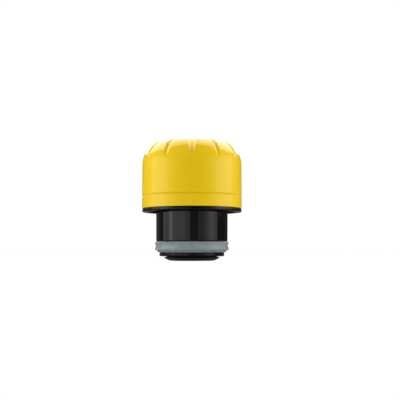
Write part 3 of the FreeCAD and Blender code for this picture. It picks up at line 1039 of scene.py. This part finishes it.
@dataclass
class Plug(Part):
    """The hollow plug, with its flange, the seat of the seal, the bore of the cover and the screw bosses."""

    node: ClassVar[str] = "plug_body"
    slot: ClassVar[str] = "plug_plastic"
    finish: Finish = PolishedPlastic()
    draft: float = 0.15
    edge_chamfer: float = 0.3
    wall: float = 2.2
    rim_drop: float = 0.8
    flange_thickness: float = 1.8
    flange_chamfer: float = 0.25
    gland_height: float = 4.9
    seat_radius: float = 13.4
    flange_radius: float = 14.9
    bore_radius: float = 11.15
    recess_depth: float = 6.8
    floor: float = 2.2
    snap_rise: float = 4.8
    snap_radius: float = 0.35
    bosses: int = 3
    boss_radius: float = 2.85
    boss_hole_radius: float = 1.5
    boss_hole_depth: float = 8.5
    boss_circle: float = 11.6
    boss_sink: float = 0.2

    def measure(self) -> None:
        """Works out the plug's walls, its rim and the two sides of its floor."""
        self.rim = self.top - self.rim_drop
        self.top_radius = self.high.x
        self.end_radius = self.top_radius - self.draft
        self.cavity = self.end_radius - self.wall
        self.recess_roof = self.bottom + self.recess_depth
        self.cavity_floor = self.recess_roof + self.floor

    def outline(self) -> list[Row]:
        """The plug's outline, from the axis in the recess, round the outside, to the axis in the cavity.

        Returns:
            The outline's points.
        """
        flange_top = self.bottom + self.flange_thickness
        shoulder = flange_top + self.gland_height
        snap = self.bottom + self.snap_rise
        corners = [
            Corner(0, self.recess_roof),
            Corner(self.bore_radius, self.recess_roof, 0.3),
            Corner(self.bore_radius, snap + self.snap_radius, 0.05),
            Corner(self.bore_radius + self.snap_radius - 0.05, snap, 0.3),
            Corner(self.bore_radius, snap - self.snap_radius, 0.05),
            Corner(self.bore_radius, self.bottom, 0.2),
            Corner(self.flange_radius - self.flange_chamfer, self.bottom, 0.1),
            Corner(self.flange_radius, self.bottom + self.flange_chamfer, 0.1),
            Corner(self.flange_radius, flange_top, 0.12),
            Corner(self.seat_radius, flange_top, 0.1),
            Corner(self.seat_radius, shoulder, 0.1),
            Corner(self.end_radius - self.edge_chamfer, shoulder, 0.1),
            Corner(self.end_radius, shoulder + self.edge_chamfer, 0.15),
            Corner(self.top_radius, self.rim, 0.3),
            Corner(self.cavity, self.rim, 0.3),
            Corner(self.cavity, self.cavity_floor, 0.5),
            Corner(0, self.cavity_floor),
        ]
        return hold_edges(rounded(corners))

    def boss_outline(self) -> list[Row]:
        """One screw boss's outline about its own axis, open at the top for the screw.

        Returns:
            The outline's points.
        """
        foot = self.cavity_floor - self.boss_sink
        hole_floor = self.top - self.boss_hole_depth
        corners = [
            Corner(0, foot),
            Corner(self.boss_radius, foot),
            Corner(self.boss_radius, self.top, 0.2),
            Corner(self.boss_hole_radius, self.top, 0.2),
            Corner(self.boss_hole_radius, hole_floor, 0.2),
            Corner(0, hole_floor),
        ]
        return hold_edges(rounded(corners, steps=3))

    def screw_bosses(self, material: Material) -> Piece:
        """The bosses, repeated on their circle.

        Args:
            material: The plug's material.

        Returns:
            The bosses' piece.
        """
        rig = Rig(
            "bosses_on_a_circle",
            {
                "Bosses": self.bosses,
                "Circle Radius": self.boss_circle * MM,
                "Finish": material,
            },
        )
        tree, source = rig.tree, rig.source.outputs
        links = {"Vertices": source["Bosses"], "Radius": source["Circle Radius"]}
        marks = add_node(tree, "GeometryNodeMeshCircle", links, fill_type="NONE")
        links = {"Points": marks, "Instance": source["Geometry"]}
        placed = add_node(tree, "GeometryNodeInstanceOnPoints", links)
        rig.close(placed, source["Finish"])
        return rig.run(turned("screw_bosses", self.boss_outline(), Fullness.FINE))

    def pieces(self, material: Material) -> list[Piece]:
        """The plug's turned body and its bosses."""
        return [turned("plug_shell", self.outline()), self.screw_bosses(material)]


# ---- Seal ----


@dataclass
class Seal(Part):
    """The silicone ring that closes the bottle's neck: two lips with a hollow between them, and a foot."""

    node: ClassVar[str] = "seal_ring"
    slot: ClassVar[str] = "seal_silicone"
    finish: Finish = Silicone()
    seat_radius: float = 13.45
    foot_radius: float = 15.8
    foot_height: float = 0.85
    lower_lip_inset: float = 0.02
    lip_rounding: float = 0.4
    land_height: float = 0.4
    hollow_depth: float = 0.33
    top_slope: float = 0.25
    top_inset: float = 0.82
    land_margin: float = 0.1

    def measure(self) -> None:
        """Works out how far the two lips reach."""
        self.upper_lip = self.high.x
        self.lower_lip = self.high.x - self.lower_lip_inset

    def outline(self) -> list[Row]:
        """The ring's outline as a loop, from its bore at the bottom.

        Returns:
            The outline's points.
        """
        undercut = self.bottom + self.foot_height
        land = undercut + self.lip_rounding
        hollow_start = land + self.land_height
        hollow_end = self.top - self.top_slope - self.lip_rounding
        middle = (hollow_start + hollow_end) / 2
        reach = (hollow_end - hollow_start) / 2
        arc = (reach**2 + self.hollow_depth**2) / (2 * self.hollow_depth)
        swing = math.degrees(math.asin(reach / arc))
        out = (self.lower_lip + self.upper_lip) / 2 + arc - self.hollow_depth
        hollow = arc_rows((out, middle), arc, 180 + swing, 180 - swing, 20)
        foot = rounded(
            [
                Corner(self.seat_radius, self.bottom),
                Corner(self.foot_radius, self.bottom, 0.15),
                Corner(self.foot_radius, undercut, 0.12),
                Corner(self.lower_lip - self.lip_rounding, undercut),
            ]
        )
        lower = arc_rows((self.lower_lip - self.lip_rounding, land), self.lip_rounding, -90, 0, 8)
        upper = arc_rows((self.upper_lip - self.lip_rounding, hollow_end), self.lip_rounding, 0, 90, 8)
        roof = [(self.upper_lip - self.top_inset, self.top), (self.seat_radius, self.top)]
        margin = (self.lower_lip, hollow_start - self.land_margin)
        rows = foot[:-1] + lower + [margin] + hollow + upper + roof
        return hold_edges(rows, closed=True)

    def pieces(self, material: Material) -> list[Piece]:
        """The ring."""
        return [turned("silicone_ring", self.outline(), closed=True)]


# ---- End cover ----


@dataclass
class EndCover(Part):
    """The bevelled disc that closes the plug's end, with the spigot that snaps into the bore."""

    node: ClassVar[str] = "end_cover"
    slot: ClassVar[str] = "plug_plastic"
    finish: Finish = PolishedPlastic()
    flat_radius: float = 9.15
    bevel_radius: float = 11.45
    bevel_height: float = 0.6
    edge_height: float = 1.55
    neck_height: float = 2.1
    plate: float = 2.0
    spigot_radius: float = 11.1
    spigot_wall: float = 2.8
    lead_in: float = 0.3
    snap_drop: float = 0.9
    snap_radius: float = 0.3
    ring_drop: float = 2.8
    ring_width: float = 1.9
    ring_root: float = 9.62

    def outline(self) -> list[Row]:
        """The cover's outline, from the axis below, round the edge and the spigot, to the axis inside.

        Returns:
            The outline's points.
        """
        run = self.bevel_radius - self.flat_radius
        arc = (run**2 + self.bevel_height**2) / (2 * self.bevel_height)
        swing = math.degrees(math.asin(run / arc))
        foot = arc_rows((self.flat_radius, self.bottom + arc), arc, -90, -90 + swing, 12)
        snap = self.top - self.snap_drop
        ring = self.top - self.ring_drop
        inside = self.spigot_radius - self.spigot_wall
        corners = [
            Corner(*foot[-1]),
            Corner(self.high.x, self.bottom + self.edge_height, 0.15),
            Corner(self.spigot_radius, self.bottom + self.neck_height, 0.05),
            Corner(self.spigot_radius, ring - self.ring_width / 2, 0.1),
            Corner(self.ring_root, ring - self.ring_width / 2, 0.1),
            Corner(self.ring_root, ring + self.ring_width / 2, 0.1),
            Corner(self.spigot_radius, ring + self.ring_width / 2, 0.1),
            Corner(self.spigot_radius, snap - self.snap_radius, 0.05),
            Corner(self.spigot_radius + self.snap_radius, snap, 0.2),
            Corner(self.spigot_radius, snap + self.snap_radius, 0.05),
            Corner(self.spigot_radius, self.top - self.lead_in, 0.05),
            Corner(self.spigot_radius - self.lead_in, self.top, 0.05),
            Corner(inside, self.top, 0.2),
            Corner(inside, self.bottom + self.plate, 0.3),
            Corner(0, self.bottom + self.plate),
        ]
        return hold_edges([(0.0, self.bottom)] + foot[:-1] + rounded(corners))

    def pieces(self, material: Material) -> list[Piece]:
        """The cover."""
        return [turned("end_disc", self.outline())]


# ---- Inner parts, kept as their CAD nodes ----


@dataclass(frozen=True)
class InnerParts:
    """The parts that the lid hides: foams, gasket, O-ring, screws and washers, shown as their CAD solids."""

    finishes: tuple[tuple[Finish, tuple[str, ...]], ...] = (
        (Foam(), ("foam",)),
        (NitrileRubber(), ("gasket", "o_ring")),
        (ZincSteel(), ("screw",)),
    )

    def dress(self) -> None:
        """Gives each CAD node whose name holds a finish's word that finish."""
        for finish, words in self.finishes:
            material = finish.material()
            for name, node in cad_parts.items():
                if any(word in name for word in words):
                    coat(node, material)
                    LOG.info("%s: %s", name, finish.name)


# ---- Studio ----


@dataclass(frozen=True)
class Card:
    """A flat, lit rectangle that faces the lid.

    Attributes:
        name: The card's name.
        azimuth: Its direction from the lid, in degrees from the camera's side towards the right.
        elevation: Its height above the level, in degrees.
        distance: Its distance from the lid's middle in millimetres.
        width: Its width in millimetres.
        height: Its height in millimetres.
        brightness: How bright its face is, where 1 is white.
    """

    name: str
    azimuth: float
    elevation: float
    distance: float
    width: float
    height: float
    brightness: float


@dataclass(frozen=True)
class Panel:
    """A card that stands on the studio's ring, curved round the lid.

    Attributes:
        name: The panel's name.
        start: The direction of one side edge, in degrees from the camera's side towards the right.
        end: The direction of the other side edge.
        low: The height of its lower edge in millimetres.
        high: The height of its upper edge in millimetres.
        brightness: How bright it is, from 0 for black to 1 for white, and above 1 for a lit one.
    """

    name: str
    start: float
    end: float
    low: float
    high: float
    brightness: float


@dataclass
class Studio:
    """The camera, a white floor, a white surround, soft lights and the cards that shape reflections."""

    focal_length: float = 64.24
    sensor: float = 36.0
    camera_distance: float = 330.0
    camera_height: float = 4.9
    camera_pitch: float = 4.011
    camera_turn: float = 0.65
    camera_reach: tuple[float, float] = (0.01, 100.0)
    aim_height: float = 28.0
    surround_fill: float = 0.77
    floor_size: float = 30000.0
    floor_level: float = -0.02
    floor_white: float = 0.97
    paper_white: float = 0.9
    floor_card_level: float = -0.01
    floor_card_radius: float = 590.0
    floor_card_brightness: float = 0.13
    ceiling_height: float = 620.0
    ceiling_radius: float = 640.0
    ceiling_brightness: float = 0.05
    disc_edges: int = 48
    ring_radius: float = 600.0
    panel_stretches: int = 16
    lights: tuple[Card, ...] = (
        Card("left_box", -94, 12, 700, 400, 700, 4.0),
        Card("right_box", 94, 12, 700, 400, 700, 3.9),
        Card("front_box", -25, 55, 800, 500, 500, 0.8),
    )
    cards: tuple[Card, ...] = (Card("rear_key_card", 180, 57, 450, 1060, 730, 3.5),)
    low_panels: tuple[Panel, ...] = (
        Panel("rear_middle_left_panel", -180, -166, -10, 110, 0.12),
        Panel("rear_left_panel", -166, -121, -10, 240, 0.12),
        Panel("left_gap_panel", -121, -103, -10, 56, 0.07),
        Panel("left_side_panel", -103, -79, -10, 56, 0.78),
        Panel("left_strip_panel", -76, -64, -10, 56, 1.9),
        Panel("front_left_panel", -21, -6, -10, 56, 0.68),
        Panel("front_panel", -6, 19, -10, 56, 0.14),
        Panel("front_right_panel", 19, 37, -10, 56, 0.42),
        Panel("right_front_panel", 37, 49, -10, 56, 0.6),
        Panel("right_strip_panel", 60, 73, -10, 56, 1.25),
        Panel("right_side_panel", 73, 87, -10, 56, 0.82),
        Panel("right_gap_panel", 87, 121, -10, 56, 0.05),
        Panel("rear_right_panel", 121, 166, -10, 240, 0.05),
        Panel("rear_middle_right_panel", 166, 180, -10, 110, 0.05),
    )
    middle_panels: tuple[Panel, ...] = (
        Panel("upper_front_panel", -25, 25, 56, 300, 0.05),
        Panel("front_rise_panel", -56, 56, 300, 660, 0.1),
    )
    side_panels: tuple[Panel, ...] = (
        Panel("dim_panel", 25, 42, 56, 300, 0.15),
        Panel("upper_front_side_panel", 42, 56, 56, 300, 0.7),
        Panel("upper_strip_panel", 56, 80, 56, 240, 1.8),
        Panel("upper_side_panel", 80, 103, 56, 240, 1.5),
        Panel("upper_gap_panel", 103, 121, 56, 240, 0.25),
        Panel("rise_panel", 56, 180, 240, 660, 0.12),
    )

    def towards(self, azimuth: float, elevation: float) -> Vector:
        """The direction from the lid at an azimuth and an elevation, both in degrees."""
        around, up = math.radians(azimuth), math.radians(elevation)
        return Vector((math.sin(around) * math.cos(up), -math.cos(around) * math.cos(up), math.sin(up)))

    def camera(self) -> None:
        """Makes the camera and sets it as the scene's."""
        data = bpy.data.cameras.new("camera")
        data.lens = self.focal_length
        data.sensor_width = self.sensor
        data.clip_start, data.clip_end = self.camera_reach
        camera = bpy.data.objects.new("camera", data)
        camera.location = (0, -self.camera_distance * MM, self.camera_height * MM)
        camera.rotation_euler = (math.radians(90 + self.camera_pitch), 0, -math.radians(self.camera_turn))
        bpy.context.scene.collection.objects.link(camera)
        bpy.context.scene.camera = camera

    def seen_directly(self, tree: Tree) -> Socket:
        """A factor that is 1 for what the camera sees, straight or in gloss or through a clear piece.

        Args:
            tree: The tree of the floor's material or of the world.

        Returns:
            The factor.
        """
        path = add_node(tree, "ShaderNodeLightPath").outputs
        pair = calc(tree, "MAXIMUM", path["Is Camera Ray"], path["Is Glossy Ray"])
        return calc(tree, "MAXIMUM", pair, path["Is Transmission Ray"])

    def surround(self) -> None:
        """Makes the world: white where it is seen, and dimmer as a fill light."""
        world = bpy.data.worlds.new("white_surround")
        world.use_nodes = True
        tree = world.node_tree
        tree.nodes.clear()
        links = {"Value": self.seen_directly(tree), "To Min": self.surround_fill, "To Max": 1.0}
        strength = add_node(tree, "ShaderNodeMapRange", links).outputs["Result"]
        light = add_node(tree, "ShaderNodeBackground", {"Color": WHITE, "Strength": strength})
        add_node(tree, "ShaderNodeOutputWorld", {"Surface": light})
        bpy.context.scene.world = world

    def floor(self) -> None:
        """Makes the floor: white paper that melts into the surround and keeps the lid's shadow."""
        half, level = self.floor_size / 2, self.floor_level
        corners = [(-half, -half, level), (half, -half, level), (half, half, level), (-half, half, level)]
        plane = mesh_object("floor", np.array(corners), [(0, 1, 2, 3)])
        material, tree, shader = start_material("white_paper", "ShaderNodeMixShader")
        paper = add_node(tree, "ShaderNodeBsdfDiffuse", {"Color": (*3 * (self.paper_white,), 1)})
        glow = add_node(tree, "ShaderNodeEmission", {"Color": WHITE, "Strength": 1.0})
        share = calc(tree, "MULTIPLY", self.seen_directly(tree), self.floor_white)
        for socket, source in zip(shader.inputs, (share, paper.outputs[0], glow.outputs[0])):
            tree.links.new(source, socket)
        coat(plane, material)

    def spot(self, card: Card) -> tuple[Vector, Quaternion]:
        """Where a card stands.

        Args:
            card: The card.

        Returns:
            Its middle in millimetres, and the turn that makes it face the lid.
        """
        direction = self.towards(card.azimuth, card.elevation)
        middle = Vector((0, 0, self.aim_height)) + direction * card.distance
        return middle, direction.to_track_quat("Z", "Y")

    def light(self, card: Card) -> None:
        """Makes one soft light, which no glossy surface shows.

        Args:
            card: The light's place, size and brightness.
        """
        data = bpy.data.lights.new(card.name, "AREA")
        data.shape = "RECTANGLE"
        data.size = card.width * MM
        data.size_y = card.height * MM
        data.energy = card.brightness * math.pi * data.size * data.size_y
        lamp = bpy.data.objects.new(card.name, data)
        middle, turn = self.spot(card)
        lamp.location = middle * MM
        lamp.rotation_euler = turn.to_euler()
        lamp.visible_glossy = False
        bpy.context.scene.collection.objects.link(lamp)

    def show_in_gloss(
        self, name: str, points: np.ndarray, faces: list[tuple[int, ...]], glow: float
    ) -> None:
        """Makes a lit card that shows only in glossy surfaces.

        Args:
            name: The card's name.
            points: Its points in millimetres.
            faces: Its faces, as indices into points.
            glow: How bright it is.
        """
        card = mesh_object(name, points, faces)
        material, _, shader = start_material(name, "ShaderNodeEmission")
        shader.inputs["Color"].default_value = WHITE
        shader.inputs["Strength"].default_value = glow
        coat(card, material)
        card.visible_camera = False
        card.visible_diffuse = False
        card.visible_shadow = False
        card.visible_transmission = False

    def card(self, card: Card) -> None:
        """Makes one flat card that faces the lid.

        Args:
            card: The card's place, size and brightness.
        """
        middle, turn = self.spot(card)
        across, up = turn @ Vector((card.width / 2, 0, 0)), turn @ Vector((0, card.height / 2, 0))
        corners = [middle - across - up, middle + across - up, middle + across + up, middle - across + up]
        self.show_in_gloss(card.name, np.array(corners), [(3, 2, 1, 0)], card.brightness)

    def panel(self, panel: Panel) -> None:
        """Makes one panel of the ring.

        Args:
            panel: The panel's place, size and brightness.
        """
        count = self.panel_stretches
        turns = np.linspace(panel.start, panel.end, count + 1)
        ring = [self.towards(turn, 0) * self.ring_radius for turn in turns]
        points = [point + Vector((0, 0, height)) for height in (panel.low, panel.high) for point in ring]
        faces = [(i, i + 1, i + count + 2, i + count + 1) for i in range(count)]
        self.show_in_gloss(panel.name, np.array(points), faces, panel.brightness)

    def disc(self, name: str, height: float, radius: float, brightness: float) -> None:
        """Makes a level card over or under the lid.

        Args:
            name: The card's name.
            height: Its height in millimetres.
            radius: Its radius in millimetres.
            brightness: How bright it is.
        """
        turns = np.linspace(0, math.tau, self.disc_edges, endpoint=False)
        points = np.array([(math.cos(t) * radius, math.sin(t) * radius, height) for t in turns])
        self.show_in_gloss(name, points, [tuple(range(self.disc_edges))], brightness)

    def build(self) -> None:
        """Makes the whole studio."""
        self.camera()
        self.surround()
        self.floor()
        self.disc("ceiling_card", self.ceiling_height, self.ceiling_radius, self.ceiling_brightness)
        self.disc("floor_card", self.floor_card_level, self.floor_card_radius, self.floor_card_brightness)
        for light in self.lights:
            self.light(light)
        for card in self.cards:
            self.card(card)
        for panel in (*self.low_panels, *self.middle_panels):
            self.panel(panel)
        for side in self.side_panels:
            self.panel(replace(side, name=f"right_{side.name}"))
            self.panel(replace(side, name=f"left_{side.name}", start=-side.end, end=-side.start))


def main() -> None:
    """Builds the studio and the lid's pieces."""
    logging.basicConfig(level=logging.INFO, format="%(name)s: %(message)s")
    bpy.context.scene.view_settings.view_transform = "Standard"
    Studio().build()
    for part in (CapShell, ThreadLiner, Plug, Seal, EndCover):
        part().build()
    InnerParts().dress()


if __name__ == "__main__":
    main()
